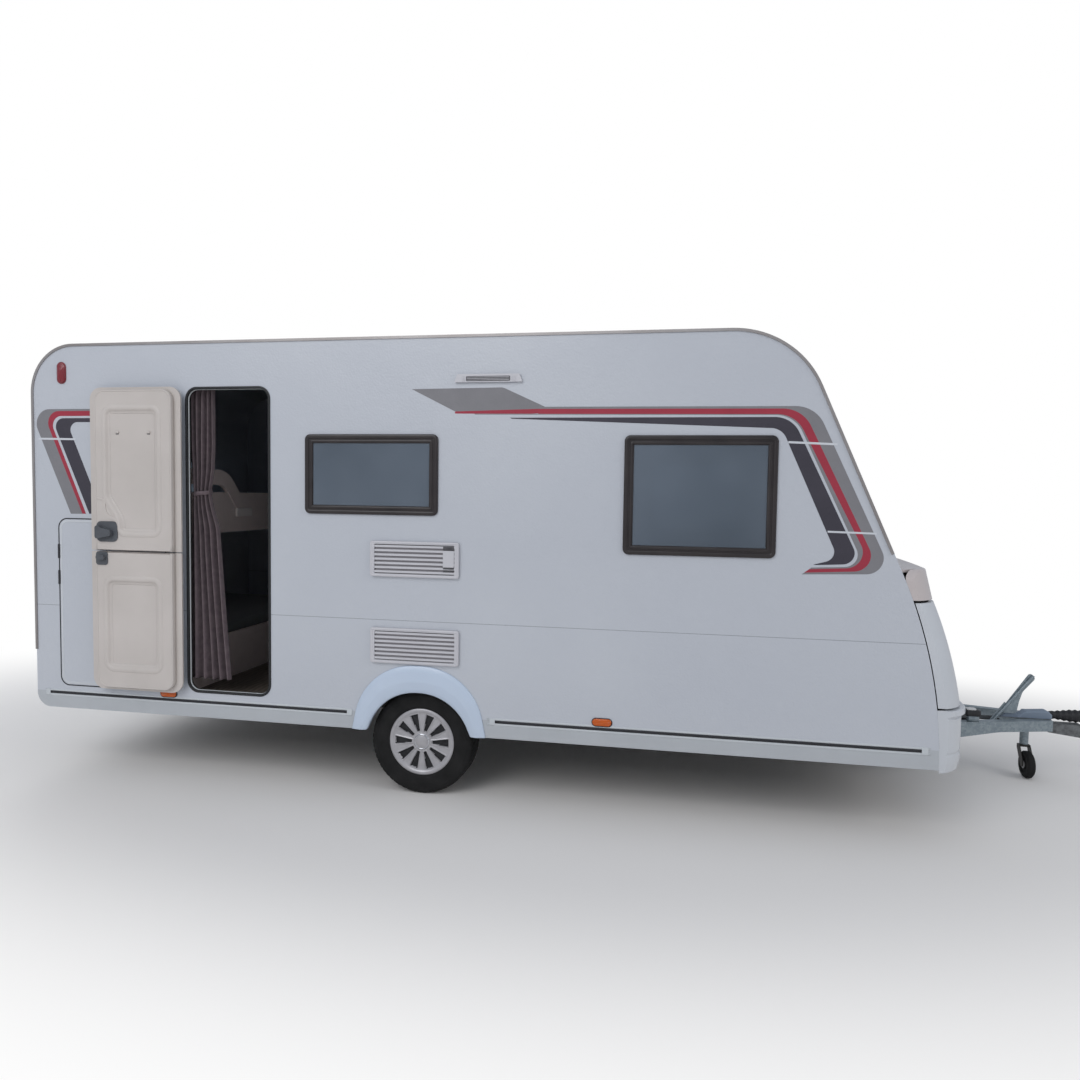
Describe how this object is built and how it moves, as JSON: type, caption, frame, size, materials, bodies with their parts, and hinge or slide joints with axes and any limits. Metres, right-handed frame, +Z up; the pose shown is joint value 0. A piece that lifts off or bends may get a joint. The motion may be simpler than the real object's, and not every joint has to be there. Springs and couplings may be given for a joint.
{
  "type": "travel caravan",
  "caption": "Travel caravan on a single axle with a sloping front, a stable door folded open against its side, a gas locker nose and a braked drawbar on its jockey wheel.",
  "frame": {"origin": "centre of the coupling's ball socket", "axes": "+X forward along the tow direction, +Y to the left side, +Z up; the ground is at z = -0.385"},
  "size_m": [6.414, 2.428, 2.562],
  "materials": {
    "white_panel": "white lacquer on hammered aluminium sheet",
    "white_moulding": "white moulded plastic",
    "grey_skirt": "light grey lacquer",
    "beige_moulding": "beige moulded plastic",
    "door_lining": "cream moulded plastic",
    "rail_aluminium": "anodised, satin",
    "black_frame": "black, satin gloss",
    "black_rubber": "black, matt",
    "tinted_pane": "tinted acrylic",
    "grey_plastic": "dark grey, textured",
    "orange_lens": "orange lens",
    "red_lens": "red lens",
    "floor_board": "painted board",
    "galvanised": "hot-dip galvanised, dull",
    "cast_grey": "zinc-coated casting",
    "tyre": "black rubber",
    "steel_rim": "silver lacquer",
    "silver_trim": "silver paint on plastic",
    "furniture_board": "light wood-grain foil",
    "mattress_fabric": "woven cover",
    "curtain_fabric": "mauve woven cloth"
  },
  "bodies": {
    "caravan": {"side_wall_right": "white_panel", "side_wall_left": "white_panel", "roof_panel": "white_panel", "rear_panel": "white_moulding", "front_panel": "white_moulding", "front_bumper": "white_moulding", "service_hatch": "white_moulding", "side_vents": "white_moulding", "wheel_arches": "white_moulding", "roof_lights": "white_moulding", "door_hinges": "white_moulding", "rear_board": "white_moulding", "grab_handles": "white_moulding", "skirts": "grey_skirt", "locker_cap": "beige_moulding", "awning_rails": "rail_aluminium", "window_frames": "black_frame", "door_seal": "black_rubber", "bellows": "black_rubber", "window_panes": "tinted_pane", "side_markers": "orange_lens", "rear_lamps": "red_lens", "floor_panel": "floor_board", "locker_bulkhead": "floor_board", "chassis_rails": "galvanised", "cross_members": "galvanised", "drawbar": "galvanised", "axle": "galvanised", "steady_brackets": "galvanised", "jockey_clamp": "galvanised", "jockey_tube": "galvanised", "handbrake_lever": "galvanised", "overrun_housing": "cast_grey", "coupling_head": "cast_grey", "bunks": "furniture_board", "kitchen_unit": "furniture_board", "curtain_rail": "furniture_board", "seats": "furniture_board", "mattresses": "mattress_fabric", "curtain": "curtain_fabric"},
    "wheel_right": {"tyre_right": "tyre", "rim_right": "steel_rim", "wheel_trim_right": "silver_trim"},
    "wheel_left": {"tyre_left": "tyre", "rim_left": "steel_rim", "wheel_trim_left": "silver_trim"},
    "lower_leaf": {"door_lower": "door_lining", "door_handle_lower": "grey_plastic"},
    "upper_leaf": {"door_upper": "door_lining", "door_handle_upper": "grey_plastic"},
    "locker_lid": {"locker_lid": "white_moulding"},
    "steady_rear_right": {"steady_rear_right": "galvanised"},
    "steady_rear_left": {"steady_rear_left": "galvanised"},
    "steady_front_right": {"steady_front_right": "galvanised"},
    "steady_front_left": {"steady_front_left": "galvanised"},
    "jockey_fork": {"jockey_fork": "galvanised"},
    "jockey_wheel": {"jockey_wheel": "tyre"}
  },
  "joints": [
    {"name": "wheel_right_spin", "type": "hinge", "parent": "caravan", "child": "wheel_right", "pos_m": [-3.925, -1.0075, -0.095], "axis": [0, 1, 0], "continuous": true},
    {"name": "wheel_left_spin", "type": "hinge", "parent": "caravan", "child": "wheel_left", "pos_m": [-3.925, 1.0075, -0.095], "axis": [0, 1, 0], "continuous": true},
    {"name": "lower_leaf_swing", "type": "hinge", "parent": "caravan", "child": "lower_leaf", "pos_m": [-5.32, -1.179, 0.515], "axis": [0, 0, 1], "range_deg": [0, 180]},
    {"name": "upper_leaf_swing", "type": "hinge", "parent": "caravan", "child": "upper_leaf", "pos_m": [-5.32, -1.179, 1.315], "axis": [0, 0, 1], "range_deg": [0, 180]},
    {"name": "locker_lid_lift", "type": "hinge", "parent": "caravan", "child": "locker_lid", "pos_m": [-1.27481, 0, 0.843], "axis": [0, -1, 0], "range_deg": [0, 75]},
    {"name": "jockey_swivel", "type": "hinge", "parent": "caravan", "child": "jockey_fork", "pos_m": [-0.468, 0.034, -0.085], "axis": [0, 0, 1], "continuous": true},
    {"name": "jockey_wheel_spin", "type": "hinge", "parent": "jockey_fork", "child": "jockey_wheel", "pos_m": [-0.468, -0.026, -0.305], "axis": [1, 0, 0], "continuous": true},
    {"name": "steady_rear_right_drop", "type": "hinge", "parent": "caravan", "child": "steady_rear_right", "pos_m": [-5.575, -0.78, 0.003], "axis": [0, -1, 0], "range_deg": [0, 50]},
    {"name": "steady_rear_left_drop", "type": "hinge", "parent": "caravan", "child": "steady_rear_left", "pos_m": [-5.575, 0.78, 0.003], "axis": [0, -1, 0], "range_deg": [0, 50]},
    {"name": "steady_front_right_drop", "type": "hinge", "parent": "caravan", "child": "steady_front_right", "pos_m": [-2.475, -0.78, 0.003], "axis": [0, 1, 0], "range_deg": [0, 50]},
    {"name": "steady_front_left_drop", "type": "hinge", "parent": "caravan", "child": "steady_front_left", "pos_m": [-2.475, 0.78, 0.003], "axis": [0, 1, 0], "range_deg": [0, 50]}
  ]
}
